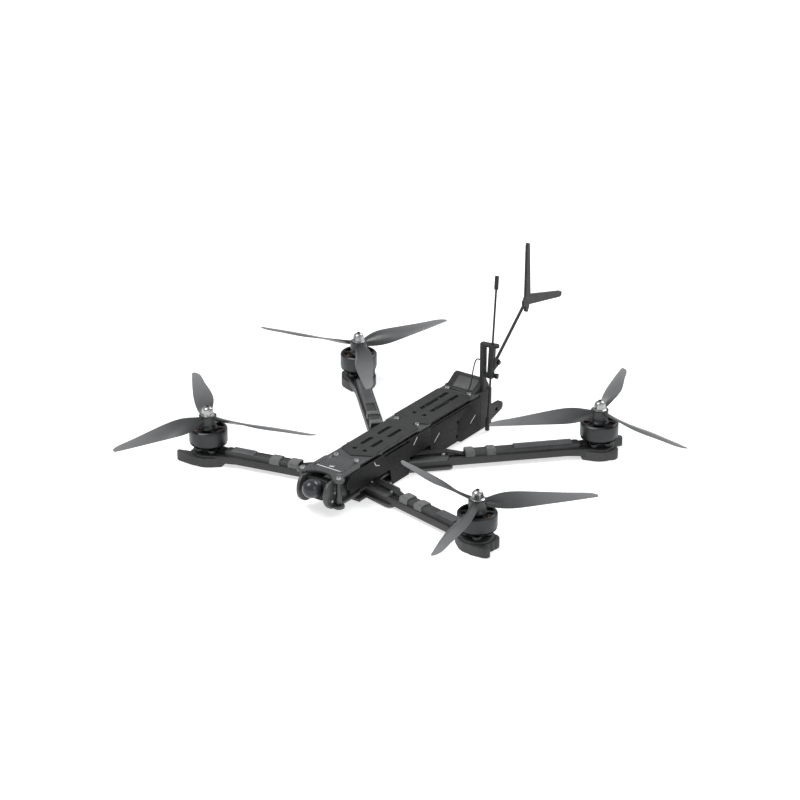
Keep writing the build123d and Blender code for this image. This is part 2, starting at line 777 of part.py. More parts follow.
# ---------------------------------------------------------------- nose camera
CHEEK_R = 16.0
CHEEK_X = CHEEK_IN + CHEEK_T
SCREW2_R = 1.0
LOCK_R = 8.5                        # radius of the locking screws' arc slots
LOCK_REST = 235.0                   # direction of a locking screw from the tilt axis, in YZ
TILT_DOWN = 20.0
TILT_UP = 15.0


def yz_point(angle, radius):
    """A point in the YZ plane about the camera's tilt axis."""
    turn = radians(angle)
    return CAMERA_Y + radius * cos(turn), CAMERA_Z + radius * sin(turn)


with BuildSketch(Plane.YZ) as cheek_profile:
    with Locations((CAMERA_Y, CAMERA_Z)):
        Circle(CHEEK_R)
    with BuildLine():
        Polyline(
            (CAMERA_Y, DECK_LOW), (-129, DECK_LOW), (-129, TOP_Z), (CAMERA_Y, TOP_Z), close=True,
        )
    make_face()
    with Locations((CAMERA_Y, TOP_Z + 5)):
        Rectangle(60, 10, mode=Mode.SUBTRACT)
    with Locations((-133.0, DECK_LOW - 5)):
        Rectangle(17.2, 10, mode=Mode.SUBTRACT)
    with Locations((CAMERA_Y, CAMERA_Z)):
        Circle(SCREW2_R + RUN_GAP, mode=Mode.SUBTRACT)
    swing_start = LOCK_REST - TILT_UP - 3
    swing_end = LOCK_REST + TILT_DOWN + 3
    with BuildLine():
        CenterArc((CAMERA_Y, CAMERA_Z), LOCK_R + 1.3, swing_start, swing_end - swing_start)
        CenterArc((CAMERA_Y, CAMERA_Z), LOCK_R - 1.3, swing_start, swing_end - swing_start)
        Line(yz_point(swing_start, LOCK_R - 1.3), yz_point(swing_start, LOCK_R + 1.3))
        Line(yz_point(swing_end, LOCK_R - 1.3), yz_point(swing_end, LOCK_R + 1.3))
    make_face(mode=Mode.SUBTRACT)
    with Locations(yz_point(swing_start, LOCK_R), yz_point(swing_end, LOCK_R)):
        Circle(1.3, mode=Mode.SUBTRACT)

with BuildPart() as camera_plates:
    for inner_face in (CHEEK_IN, -CHEEK_X):
        add(Pos(inner_face, 0, 0) * cheek_profile.sketch)
        extrude(amount=CHEEK_T, dir=(1, 0, 0))
save(camera_plates.part, "camera_plates")

# camera frame: local Z out through the lens, local Y across the camera's top, local X to the side
look = Vector(0, -cos(radians(CAMERA_TILT)), sin(radians(CAMERA_TILT)))
camera_frame = Plane(origin=(0, CAMERA_Y, CAMERA_Z), x_dir=(1, 0, 0), z_dir=look)
CASE_HALF = 9.5
CASE_DEPTH = 9.0
DOME_R = 9.2
BARREL_L = 6.6
BARREL_BORE = 7.9
EAR_FACE = CHEEK_IN - FIT

with BuildPart() as camera_housing:
    with BuildSketch(camera_frame.offset(-CASE_DEPTH)):
        RectangleRounded(22.4, 2 * CASE_HALF, 2.0)
    extrude(amount=2 * CASE_DEPTH)
    with BuildSketch(camera_frame.offset(-6)):
        RectangleRounded(2 * EAR_FACE, 15, 1.5)
    extrude(amount=11)
    with BuildSketch(camera_frame.offset(CASE_DEPTH)):
        Circle(DOME_R)
        Circle(BARREL_BORE, mode=Mode.SUBTRACT)
    extrude(amount=BARREL_L)
    with BuildSketch(Plane.YZ.offset(-CHEEK_X)):
        with Locations((CAMERA_Y, CAMERA_Z), yz_point(LOCK_REST, LOCK_R)):
            Circle(SCREW2_R)
    extrude(amount=2 * CHEEK_X, mode=Mode.SUBTRACT)
save(camera_housing.part, "camera_housing")

with BuildPart() as camera_lens:
    with Locations(camera_frame.location * Location((0, 0, CASE_DEPTH + BARREL_L))):
        Sphere(DOME_R)
    split(bisect_by=camera_frame.offset(CASE_DEPTH + BARREL_L), keep=Keep.TOP)
    with BuildSketch(camera_frame.offset(CASE_DEPTH)):
        Circle(BARREL_BORE - FIT)
    extrude(amount=BARREL_L)
save(camera_lens.part, "camera_lens")

with BuildPart() as camera_screws:
    for side in (1, -1):
        outside = Plane(origin=(side * (CHEEK_X + FIT), 0, 0), x_dir=(0, side, 0), z_dir=(side, 0, 0))
        lock_y, lock_z = yz_point(LOCK_REST, LOCK_R)
        places = [(side * CAMERA_Y, CAMERA_Z), (side * lock_y, lock_z)]
        button_head(outside, places, 1.3, radius=2.0)
        with BuildSketch(outside):
            with Locations(*places):
                Circle(SCREW2_R)
        extrude(amount=-(CHEEK_T + 2 * FIT + 6))
save(camera_screws.part, "camera_screws")

# ---------------------------------------------------------------- electronics
ESC_Z = 20.5
FC_Z = 29.0
BOARD_T = 1.6
BOARD = 38.0
ROD_R = 1.5
half_pitch = STACK_PITCH / 2


def stack_board(height, chips):
    """A square board on the 30.5 mm pattern with its chips on top."""
    with BuildSketch(level(height)) as board:
        with Locations((0, STACK_Y)):
            RectangleRounded(BOARD, BOARD, 3)
            with GridLocations(STACK_PITCH, STACK_PITCH, 2, 2):
                Circle(2.0, mode=Mode.SUBTRACT)
    extrude(board.sketch, amount=BOARD_T)
    for x, y, width, depth, tall in chips:
        with BuildSketch(level(height + BOARD_T)) as chip:
            with Locations((x, STACK_Y + y)):
                Rectangle(width, depth)
        extrude(chip.sketch, amount=tall)


esc_chips = [(x, y, 5, 6, 1.2) for x in (-9.5, -3.2, 3.2, 9.5) for y in (-14, 14)]
with BuildPart() as esc_board:
    stack_board(ESC_Z, esc_chips + [(0, 0, 14, 14, 1.4)])
save(esc_board.part, "esc_board")

SWITCH_X = 14.5
SWITCH_Y = STACK_Y - 8.0
SWITCH_H = 1.6
BUTTON_R = 0.9
with BuildPart() as flight_controller:
    stack_board(FC_Z, [(-3, 2, 10, 10, 1.2), (8, 10, 4, 4, 1.0), (-9, -11, 8, 5, 2.6)])
    with BuildSketch(level(FC_Z + BOARD_T)):
        with Locations((SWITCH_X, SWITCH_Y)):
            Rectangle(4, 3)
            Circle(BUTTON_R + 0.06, mode=Mode.SUBTRACT)
    extrude(amount=SWITCH_H)
save(flight_controller.part, "flight_controller")

BUTTON_TRAVEL = 0.3
with BuildPart() as boot_button:
    with BuildSketch(level(FC_Z + BOARD_T + BUTTON_TRAVEL + 0.1)):
        with Locations((SWITCH_X, SWITCH_Y)):
            Circle(BUTTON_R)
    extrude(amount=SWITCH_H + 0.3)
save(boot_button.part, "boot_button")

with BuildPart() as stack_hardware:
    post_top = 35.0
    with BuildSketch(level(DECK_LOW)):
        with Locations((0, STACK_Y)):
            with GridLocations(STACK_PITCH, STACK_PITCH, 2, 2):
                Circle(ROD_R)
    extrude(amount=post_top - DECK_LOW)
    for low, high, radius in (
        (DECK_LOW, ESC_Z, 2.6), (ESC_Z + BOARD_T, FC_Z, 2.6), (FC_Z + BOARD_T, FC_Z + BOARD_T + 3.4, 2.9),
    ):
        with BuildSketch(level(low)):
            with Locations((0, STACK_Y)):
                with GridLocations(STACK_PITCH, STACK_PITCH, 2, 2):
                    Circle(radius)
        extrude(amount=high - low)
save(stack_hardware.part, "stack_hardware")

VTX_Y = 34.0
with BuildPart() as video_transmitter:
    with Locations((0, VTX_Y, DECK_LOW)):
        Box(32, 36, 9, align=(Align.CENTER, Align.CENTER, Align.MIN))
    with BuildSketch(level(DECK_LOW + 9)):
        with Locations((0, VTX_Y)):
            with GridLocations(0, 4.4, 1, 7):
                Rectangle(28, 2.0)
    extrude(amount=3)
    fillet(video_transmitter.edges().filter_by(Axis.Z).group_by(SortBy.LENGTH)[-1], 1.0)
save(video_transmitter.part, "video_transmitter")

with BuildPart() as receiver:
    with Locations((-10, 68, DECK_LOW + 0.6)):
        Box(13, 20, 1.2, align=(Align.CENTER, Align.CENTER, Align.MIN))
    with Locations((-10, 66, DECK_LOW + 1.8)):
        Box(9, 11, 1.8, align=(Align.CENTER, Align.CENTER, Align.MIN))
    with Locations((-10, 68, DECK_LOW)):
        Box(11, 18, 0.6, align=(Align.CENTER, Align.CENTER, Align.MIN))
save(receiver.part, "receiver")

with BuildPart() as capacitor:
    with BuildSketch(Plane(origin=(0, -18, DECK_LOW + 5.4), x_dir=(0, 1, 0), z_dir=(1, 0, 0))):
        Circle(5.0)
    extrude(amount=11, both=True)
    fillet(capacitor.edges().filter_by(GeomType.CIRCLE), 0.6)
save(capacitor.part, "capacitor")

CONNECTOR_Y = 70.0
CONNECTOR_X = 8.0
with BuildPart() as power_lead:
    lead_z = 23.0
    for lane in (-3.0, 3.0):
        route = [
            (lane, STACK_Y + BOARD / 2 + 3.0, ESC_Z), (lane, -15, 32.0), (CONNECTOR_X + lane, 12, 32.0),
            (CONNECTOR_X + lane, 52, 32.0), (CONNECTOR_X + lane, CONNECTOR_Y - 8, lead_z),
        ]
        with BuildLine() as path:
            Spline(*route)
        with BuildSketch(Plane(origin=path.line @ 0, z_dir=path.line % 0)):
            Circle(1.9)
        sweep(path=path.line)
    with BuildSketch(Plane.XZ.offset(-(CONNECTOR_Y - 9))):
        with Locations((CONNECTOR_X, lead_z)):
            RectangleRounded(16, 8.2, 1.5)
    extrude(amount=-16)
save(power_lead.part, "power_lead")

# ---------------------------------------------------------------- tail mount, GPS and antennas
HOOD_HALF = 18.0
HOOD_LOW_Y = 89.0
HOOD_TOP_Y = 105.0
HOOD_TOP_Z = 52.0
TAIL_END = 115.0
BRACKET_TURN = 13.0
MAST_W = 5.0
MAST_D = 7.0
SLEEVE_LOW = 58.0
ROD_HOLE_R = 1.45
LUG_Z = 14.0
LUG_R = 5.2
LUG_REACH = 17.0
slope_turn = degrees(atan((HOOD_TOP_Z - TOP_FACE) / (HOOD_TOP_Y - HOOD_LOW_Y)))
GPS_X = 1.5
GPS_W = 25.0
GPS_L = 15.0
GPS_T = 1.8

rod_base = Vector(ROD_X, 97.8, 1.2)
rod_up = Vector(0, sin(radians(ROD_LEAN)), cos(radians(ROD_LEAN)))
rod_plane = Plane(origin=rod_base, x_dir=(1, 0, 0), z_dir=rod_up)


def rod_point(height):
    """Point on the control antenna's axis at a height above the ground plane."""
    return rod_base + rod_up * ((height - rod_base.Z) / rod_up.Z)


slope_middle = Vector(GPS_X, (HOOD_LOW_Y + HOOD_TOP_Y) / 2 + 0.8, (TOP_FACE + HOOD_TOP_Z) / 2 + 0.5)
slope_normal = Vector(0, -sin(radians(slope_turn)), cos(radians(slope_turn)))
slope_plane = Plane(origin=slope_middle, x_dir=(1, 0, 0), z_dir=slope_normal)

KNUCKLE_Z = 73.0
KNUCKLE_Y = rod_point(KNUCKLE_Z).Y + 7.2
KNUCKLE_R = 3.4
EYE_HALF = 1.8
FORK_T = 1.8
PIN_R = 1.25
bracket_places = ((MAST_TOP - 3.0, 20.0), (SLEEVE_LOW, 16.5))  # foot height and length
BRACKET_H = 3.0

with BuildPart() as tail_mount:
    with BuildSketch(Plane.YZ):
        with BuildLine():
            Polyline(
                (HOOD_LOW_Y, TOP_FACE), (HOOD_TOP_Y, HOOD_TOP_Z), (110, HOOD_TOP_Z),
                (TAIL_END, 44), (TAIL_END, BOTTOM_Z), (TAIL_Y + FIT, BOTTOM_Z), (TAIL_Y + FIT, TOP_FACE),
                close=True,
            )
        make_face()
    extrude(amount=HOOD_HALF, both=True)
    with BuildSketch(level(BOTTOM_Z)):
        with Locations((MAST_X, (93.2 + TAIL_END) / 2), (-MAST_X, (93.2 + TAIL_END) / 2)):
            RectangleRounded(7.4, TAIL_END - 93.2, 1.5)
    extrude(amount=TOP_FACE - BOTTOM_Z)
    with BuildSketch(level(TOP_FACE)):
        with Locations((MAST_X, MAST_Y)):
            RectangleRounded(MAST_W, MAST_D, 1.2)
    extrude(amount=MAST_TOP - TOP_FACE)
    for low, length in bracket_places:
        with BuildSketch(Plane(origin=(MAST_X, MAST_Y, low)).rotated((0, 0, BRACKET_TURN))):
            with Locations((length / 2 - 3, 0)):
                SlotOverall(length, 6.4)
        extrude(amount=BRACKET_H)
    with BuildSketch(Plane(origin=rod_point(SLEEVE_LOW), x_dir=(1, 0, 0), z_dir=rod_up)):
        RectangleRounded(6.0, 6.4, 1.4)
    extrude(amount=MAST_TOP - SLEEVE_LOW - 1)
    for side in (1, -1):
        with BuildSketch(Plane.YZ.offset(ROD_X + side * (EYE_HALF + FIT))):
            with Locations((KNUCKLE_Y, KNUCKLE_Z)):
                Circle(KNUCKLE_R)
            with BuildLine():
                Polyline(
                    (KNUCKLE_Y - 6.5, KNUCKLE_Z - 6.5), (KNUCKLE_Y + 1.5, KNUCKLE_Z - 3),
                    (KNUCKLE_Y + 1.5, KNUCKLE_Z + 3), (KNUCKLE_Y - 6.5, KNUCKLE_Z + 6.5), close=True,
                )
            make_face()
        extrude(amount=side * FORK_T)
    with BuildSketch(rod_plane):
        Circle(ROD_HOLE_R)
    extrude(amount=140, mode=Mode.SUBTRACT)
    with BuildSketch(Plane.YZ.offset(ROD_X - 9)):
        with Locations((KNUCKLE_Y, KNUCKLE_Z)):
            Circle(PIN_R)
    extrude(amount=18, mode=Mode.SUBTRACT)
    with BuildSketch(slope_plane.offset(-GPS_T)):
        RectangleRounded(GPS_W + 2 * FIT, GPS_L + 2 * FIT, 1.0)
    extrude(amount=12, mode=Mode.SUBTRACT)
    for side in (1, -1):
        with BuildSketch(Plane.YZ.offset(side * 17)):
            with Locations((TAIL_END + LUG_REACH, LUG_Z)):
                Circle(LUG_R)
            with BuildLine():
                Polyline(
                    (TAIL_END - 1, LUG_Z - 10), (TAIL_END + LUG_REACH, LUG_Z - LUG_R),
                    (TAIL_END + LUG_REACH, LUG_Z + LUG_R), (TAIL_END - 1, LUG_Z + 6), close=True,
                )
            make_face()
            with Locations((TAIL_END + 0.6 * LUG_REACH, LUG_Z - 1)):
                Circle(2.2, mode=Mode.SUBTRACT)
        extrude(amount=side * 4)
save(tail_mount.part, "tail_mount")

with BuildPart() as gps_module:
    with BuildSketch(slope_plane.offset(-GPS_T)):
        RectangleRounded(GPS_W, GPS_L, 1.0)
    extrude(amount=GPS_T + 0.2)
    chamfer(gps_module.faces().sort_by(Axis.Z)[-1].edges(), 0.5)
save(gps_module.part, "gps_module")

ROD_TOP = 165.7
CAP_L = 14.0
with BuildPart() as control_antenna:
    rod_length = (ROD_TOP - rod_base.Z) / rod_up.Z
    with BuildSketch(rod_plane):
        Circle(1.1)
    extrude(amount=rod_length)
    for begin in (0, rod_length - CAP_L):
        with BuildSketch(rod_plane.offset(begin)):
            Circle(2.2)
        extrude(amount=CAP_L)
    fillet(control_antenna.edges().filter_by(GeomType.CIRCLE).filter_by(lambda e: e.radius > 2), 0.6)
save(control_antenna.part, "control_antenna")

# video antenna: a boom to a flat V whose two arms stand up and to the rear
HUB = Vector(ROD_X, 168.6, 121.8)
BOOM_END = Vector(ROD_X, 165.0, 119.6)
TIP_UP = Vector(ROD_X, 167.6, 183.6)
TIP_REAR = Vector(ROD_X, 232.4, 107.0)
TIP_DOWN = Vector(ROD_X, 166.6, 108.6)
V_HALF = 1.5
BOOM_R = 1.6
knuckle = Vector(ROD_X, KNUCKLE_Y, KNUCKLE_Z)


def tapered_arm(tip, hub_width, tip_width):
    """A flat arm in the YZ plane from the hub to a rounded tip."""
    along = (tip - HUB).normalized()
    across = Vector(0, -along.Z, along.Y)
    end = tip - along * (tip_width / 2)
    corners = [
        HUB + across * (hub_width / 2), end + across * (tip_width / 2),
        end - across * (tip_width / 2), HUB - across * (hub_width / 2),
    ]
    with BuildLine() as outline:
        Polyline(*[(point.Y, point.Z) for point in corners], close=True)
    make_face(outline.edges())
    with Locations((end.Y, end.Z)):
        Circle(tip_width / 2)


with BuildPart() as video_antenna:
    with BuildSketch(Plane.YZ.offset(ROD_X - V_HALF)):
        with Locations((HUB.Y, HUB.Z)):
            Circle(6.0)
        with Locations((BOOM_END.Y, BOOM_END.Z)):
            Circle(4.4)
        tapered_arm(TIP_UP, 8.4, 4.2)
        tapered_arm(TIP_REAR, 11.0, 6.4)
        tapered_arm(TIP_DOWN, 9.0, 4.4)
    extrude(amount=2 * V_HALF)
    boom_start = knuckle + (BOOM_END - knuckle).normalized() * 2.2
    with BuildSketch(Plane(origin=boom_start, z_dir=(BOOM_END - knuckle))):
        Circle(BOOM_R)
    extrude(amount=(BOOM_END - boom_start).length)
    with BuildSketch(Plane.YZ.offset(ROD_X - EYE_HALF)):
        with Locations((knuckle.Y, knuckle.Z)):
            Circle(KNUCKLE_R - 0.2)
    extrude(amount=2 * EYE_HALF)
    with BuildSketch(Plane.YZ.offset(ROD_X - 6)):
        with Locations((knuckle.Y, knuckle.Z)):
            Circle(PIN_R + RUN_GAP)
    extrude(amount=12, mode=Mode.SUBTRACT)
save(video_antenna.part, "video_antenna")

bracket_out = Plane(origin=(MAST_X, MAST_Y, SLEEVE_LOW + 1.5)).rotated((0, 0, BRACKET_TURN))
knob_plane = Plane(origin=bracket_out.from_local_coords(Vector(13.55, 0, 0)), z_dir=bracket_out.x_dir)

with BuildPart() as antenna_screws:
    with BuildSketch(Plane.YZ.offset(ROD_X - EYE_HALF - FORK_T - 0.6)):
        with Locations((knuckle.Y, knuckle.Z)):
            Circle(PIN_R)
    extrude(amount=2 * (EYE_HALF + FORK_T) + 0.8)
    with BuildSketch(Plane.YZ.offset(ROD_X + EYE_HALF + FORK_T + 0.2)):
        with Locations((knuckle.Y, knuckle.Z)):
            Circle(2.4)
    extrude(amount=1.8)
    fillet(antenna_screws.edges().filter_by(GeomType.CIRCLE).group_by(Axis.X)[-1], 0.6)
    with BuildSketch(knob_plane):
        Circle(2.8)
    extrude(amount=2.6)
save(antenna_screws.part, "antenna_screws")

with BuildPart() as coax_cable:
    with BuildLine() as path:
        Spline(
            (10.0, 86.8, TOP_FACE + 1.0), (11.6, 93.6, 58.0), (12.6, 96.6, 72.0), (13.6, 99.0, 76.2),
            (15.2, 101.6, 75.4),
        )
    with BuildSketch(Plane(origin=path.line @ 0, z_dir=path.line % 0)):
        Circle(0.7)
    sweep(path=path.line)
save(coax_cable.part, "coax_cable")
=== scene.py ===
"""Looks of the nine-inch quadcopter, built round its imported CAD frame. Metres, nose towards -Y."""
import json
import math

import bpy
import bmesh
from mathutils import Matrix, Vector


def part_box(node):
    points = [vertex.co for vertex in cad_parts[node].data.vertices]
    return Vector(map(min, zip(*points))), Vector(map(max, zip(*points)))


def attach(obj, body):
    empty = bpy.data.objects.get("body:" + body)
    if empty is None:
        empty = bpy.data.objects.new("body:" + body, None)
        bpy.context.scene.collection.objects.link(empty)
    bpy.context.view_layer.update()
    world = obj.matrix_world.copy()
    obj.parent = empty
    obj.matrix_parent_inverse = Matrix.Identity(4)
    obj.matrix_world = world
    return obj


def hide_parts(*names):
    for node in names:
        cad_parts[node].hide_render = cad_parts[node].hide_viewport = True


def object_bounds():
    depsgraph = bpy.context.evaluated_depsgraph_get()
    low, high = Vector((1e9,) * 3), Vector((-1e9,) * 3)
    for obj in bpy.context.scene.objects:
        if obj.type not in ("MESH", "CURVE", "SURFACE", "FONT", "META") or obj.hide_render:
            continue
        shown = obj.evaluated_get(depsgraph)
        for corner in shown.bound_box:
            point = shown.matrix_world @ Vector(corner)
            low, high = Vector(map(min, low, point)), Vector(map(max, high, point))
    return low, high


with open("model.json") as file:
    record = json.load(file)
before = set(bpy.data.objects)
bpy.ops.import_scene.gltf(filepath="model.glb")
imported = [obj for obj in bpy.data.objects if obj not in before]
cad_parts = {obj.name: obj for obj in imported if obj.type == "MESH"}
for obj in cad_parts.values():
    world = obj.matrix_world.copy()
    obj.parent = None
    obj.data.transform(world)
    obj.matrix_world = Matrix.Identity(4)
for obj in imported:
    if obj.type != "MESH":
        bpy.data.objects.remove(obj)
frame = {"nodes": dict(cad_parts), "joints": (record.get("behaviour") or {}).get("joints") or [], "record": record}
cad_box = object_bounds()
nodes = frame["nodes"]
scene = bpy.context.scene
MM = 0.001
CORNERS = ("front_left", "front_right", "rear_left", "rear_right")


# ---------------------------------------------------------------- colours and shader helpers
def grey(value, tint=0.0):
    """A neutral linear colour, slightly blue when tint is positive."""
    return (value * (1 - tint), value, value * (1 + tint))


def scaled(colour, factor):
    """A colour made darker or paler."""
    return tuple(factor * channel for channel in colour)


class Shader:
    """A node material with a principled surface and short calls for building its inputs."""

    def __init__(self, name, roughness, specular, metallic=0.0):
        self.material = bpy.data.materials.new(name)
        self.material.use_nodes = True
        self.tree = self.material.node_tree
        self.surface = self.tree.nodes["Principled BSDF"]
        self.set("Roughness", roughness)
        self.set("Metallic", metallic)
        self.set("Specular IOR Level", specular)
        self.place = self.node("ShaderNodeTexCoord").outputs["Object"]

    def node(self, kind, **settings):
        made = self.tree.nodes.new(kind)
        for key, value in settings.items():
            setattr(made, key, value)
        return made

    def set(self, socket, value):
        self.connect(value, self.surface.inputs[socket])

    def connect(self, value, socket):
        """Link a socket, or write a plain value."""
        if isinstance(value, bpy.types.NodeSocket):
            self.tree.links.new(value, socket)
        elif socket.type == "RGBA":
            socket.default_value = (*value, 1.0)
        else:
            socket.default_value = value

    def math(self, operation, first, second=0.0):
        made = self.node("ShaderNodeMath", operation=operation)
        for socket, value in zip(made.inputs, (first, second)):
            self.connect(value, socket)
        return made.outputs[0]

    def stripes(self, value, pitch):
        """Ridges repeating at a pitch, from 0 in each groove to 1 on each crest."""
        return self.math("ABSOLUTE", self.math("SINE", self.math("MULTIPLY", value, math.pi / pitch)))

    def split(self, vector):
        made = self.node("ShaderNodeSeparateXYZ")
        self.connect(vector, made.inputs[0])
        return made.outputs

    def shift(self, offset=(0, 0, 0), scale=(1, 1, 1), turn=0.0):
        """The object position about a point, turned about Z and scaled."""
        moved = self.node("ShaderNodeVectorMath", operation="SUBTRACT")
        self.connect(self.place, moved.inputs[0])
        moved.inputs[1].default_value = offset
        mapped = self.node("ShaderNodeMapping")
        self.connect(moved.outputs[0], mapped.inputs["Vector"])
        mapped.inputs["Rotation"].default_value = (0, 0, turn)
        mapped.inputs["Scale"].default_value = scale
        return mapped.outputs[0]

    def noise(self, scale, detail, stretch=None):
        made = self.node("ShaderNodeTexNoise")
        source = self.shift(scale=stretch) if stretch else self.place
        self.connect(source, made.inputs["Vector"])
        made.inputs["Scale"].default_value = scale
        made.inputs["Detail"].default_value = detail
        return made.outputs["Fac"]

    def ramp(self, factor, low, high, begin=0.0, end=1.0):
        """Map a factor from begin..end to low..high."""
        made = self.node("ShaderNodeMapRange")
        ends = {"Value": factor, "From Min": begin, "From Max": end, "To Min": low, "To Max": high}
        for key, value in ends.items():
            self.connect(value, made.inputs[key])
        return made.outputs["Result"]

    def spread(self, noise, low, high):
        """A noise, which mostly keeps to 0.3..0.7, mapped to low..high."""
        return self.ramp(noise, low, high, 0.3, 0.7)

    def mix(self, factor, first, second):
        made = self.node("ShaderNodeMix", data_type="RGBA")
        self.connect(factor, made.inputs[0])
        self.connect(first, made.inputs[6])
        self.connect(second, made.inputs[7])
        return made.outputs[2]

    def colour(self, factor, first, second):
        self.set("Base Color", self.mix(factor, first, second))

    def clouded(self, colour, scale, amount):
        """A colour that drifts darker and paler in soft patches."""
        cloud = self.spread(self.noise(scale, 4), 0.0, 1.0)
        return self.mix(cloud, scaled(colour, 1 - amount), scaled(colour, 1 + amount))

    def bump(self, height, distance, strength):
        made = self.node("ShaderNodeBump")
        made.inputs["Strength"].default_value = strength
        made.inputs["Distance"].default_value = distance
        self.connect(height, made.inputs["Height"])
        self.set("Normal", made.outputs["Normal"])

    def edge(self, radius):
        """0 on open faces, up to 1 along sharp edges, where the rounded normal leaves the true one."""
        bevel = self.node("ShaderNodeBevel", samples=4)
        bevel.inputs["Radius"].default_value = radius
        true_normal = self.node("ShaderNodeNewGeometry").outputs["Normal"]
        dot = self.node("ShaderNodeVectorMath", operation="DOT_PRODUCT")
        self.connect(bevel.outputs["Normal"], dot.inputs[0])
        self.connect(true_normal, dot.inputs[1])
        return self.ramp(dot.outputs["Value"], 1.0, 0.0, begin=0.80, end=0.995)

    def worn(self, base, radius, wear, shade):
        """Lay a base colour that turns grey along sharp edges, as worn surfaces do."""
        self.colour(self.math("MULTIPLY", self.edge(radius), wear), base, grey(shade))


# ---------------------------------------------------------------- materials
TOW_WIDTH = 0.8 * MM
PLY = 0.25 * MM
PRINT_LAYER = 0.3 * MM
TAPE_PITCH = 0.75 * MM
WINDING_PITCH = 0.5 * MM
LAMINATION = 0.2 * MM
HUB_R = 12 * MM
BLADE_R = 116 * MM


def carbon(name, dark, light, roughness=0.42):
    """Two-by-two twill carbon plate under satin resin, with ply lines on its cut edges."""
    shader = Shader(name, roughness, specular=0.45)
    x, y, z = shader.split(shader.place)
    column = shader.math("DIVIDE", x, TOW_WIDTH)
    line = shader.math("DIVIDE", y, TOW_WIDTH)
    cell = shader.math("ADD", shader.math("FLOOR", column), shader.math("FLOOR", line))
    over = shader.math("LESS_THAN", shader.math("FLOORED_MODULO", cell, 4.0), 2.0)
    under = shader.math("SUBTRACT", 1.0, over)
    warp = shader.math("MULTIPLY", over, shader.stripes(column, 1.0))
    weft = shader.math("MULTIPLY", under, shader.stripes(line, 1.0))
    tow = shader.math("ADD", warp, weft)
    strands = shader.noise(900, 2, stretch=(1, 0.15, 1))
    shade = shader.math("ADD", shader.math("MULTIPLY", over, 0.55), shader.math("MULTIPLY", tow, 0.25))
    shade = shader.math("ADD", shade, shader.math("MULTIPLY", strands, 0.25))
    weave = shader.mix(shade, dark, light)
    cut = shader.mix(shader.stripes(z, PLY), scaled(dark, 0.5), scaled(light, 0.9))
    upward = shader.split(shader.node("ShaderNodeNewGeometry").outputs["True Normal"])[2]
    flat = shader.math("GREATER_THAN", shader.math("ABSOLUTE", upward), 0.5)
    shader.worn(shader.mix(flat, cut, weave), 0.4 * MM, wear=0.16, shade=0.45)
    shader.set("Roughness", shader.ramp(tow, roughness + 0.1, roughness - 0.08))
    shader.bump(tow, 0.05 * MM, 0.35)
    return shader.material


def moulded(name, colour, roughness, grain=2200, wear=0.1, depth=0.04 * MM, specular=0.35):
    """Moulded plastic or rubber: fine grain, slight cloudiness and pale worn edges."""
    shader = Shader(name, roughness, specular)
    shader.worn(shader.clouded(colour, 90, 0.15), 0.5 * MM, wear, shade=0.4)
    shader.set("Roughness", shader.spread(shader.noise(500, 3), roughness - 0.08, roughness + 0.1))
    shader.bump(shader.noise(grain, 2), depth, 0.6)
    return shader.material


def printed(name, colour):
    """Flexible printed plastic with fine horizontal layers."""
    shader = Shader(name, 0.6, specular=0.3)
    layers = shader.stripes(shader.split(shader.place)[2], PRINT_LAYER)
    base = shader.clouded(colour, 120, 0.2)
    lined = shader.mix(shader.math("MULTIPLY", layers, 0.25), base, scaled(colour, 1.5))
    shader.worn(lined, 0.5 * MM, wear=0.12, shade=0.35)
    grain = shader.math("MULTIPLY", shader.noise(1800, 2), 0.5)
    shader.bump(shader.math("ADD", layers, grain), 0.05 * MM, 0.6)
    return shader.material


def turned(name, colour, roughness, metallic=1.0, wear=0.5):
    """Machined and anodised metal with fine turning marks and bright worn edges."""
    shader = Shader(name, roughness, 0.5, metallic)
    marks = shader.noise(60, 2, stretch=(1, 1, 60))
    base = shader.mix(marks, scaled(colour, 0.8), scaled(colour, 1.25))
    shader.worn(base, 0.3 * MM, wear, shade=0.5)
    shader.set("Roughness", shader.spread(marks, roughness - 0.06, roughness + 0.1))
    shader.bump(shader.noise(2500, 1), 0.01 * MM, 0.3)
    return shader.material


def woven(name, dark, light):
    """Plain-woven tape."""
    shader = Shader(name, 0.85, specular=0.15)
    shader.set("Sheen Weight", 0.3)
    place = shader.split(shader.shift(turn=math.radians(45)))
    waves = 2 * math.pi / TAPE_PITCH
    across, along, upright = (shader.math("SINE", shader.math("MULTIPLY", way, waves)) for way in place)
    knots = shader.math("MULTIPLY", across, along)
    knots = shader.math("ADD", knots, shader.math("MULTIPLY", upright, 0.4))
    factor = shader.ramp(knots, 0, 1, -1, 1)
    mottled = shader.math("MULTIPLY", factor, shader.spread(shader.noise(260, 3), 0.7, 1.3))
    shader.colour(mottled, dark, light)
    shader.bump(factor, 0.12 * MM, 0.8)
    return shader.material


def blade_plastic(name, centre):
    """Smoke-grey propeller plastic, paler towards the thin tips: the paleness is painted light, standing in for
    light that comes through the thin plastic.
    """
    shader = Shader(name, 0.3, specular=0.5)
    x, y, _ = shader.split(shader.shift(centre))
    squared = shader.math("ADD", shader.math("MULTIPLY", x, x), shader.math("MULTIPLY", y, y))
    # painted light: the blade pales outward from the dark hub, in place of light let through the thinner plastic
    outward = shader.ramp(shader.math("SQRT", squared), 0.0, 1.0, HUB_R, BLADE_R)
    streaks = shader.math("MULTIPLY", shader.noise(45, 1), 0.2)
    factor = shader.math("ADD", shader.math("SUBTRACT", outward, 0.1), streaks)
    shader.colour(factor, grey(0.018, 0.02), grey(0.175, 0.01))
    shader.set("Roughness", shader.spread(shader.noise(30, 1), 0.26, 0.38))
    return shader.material


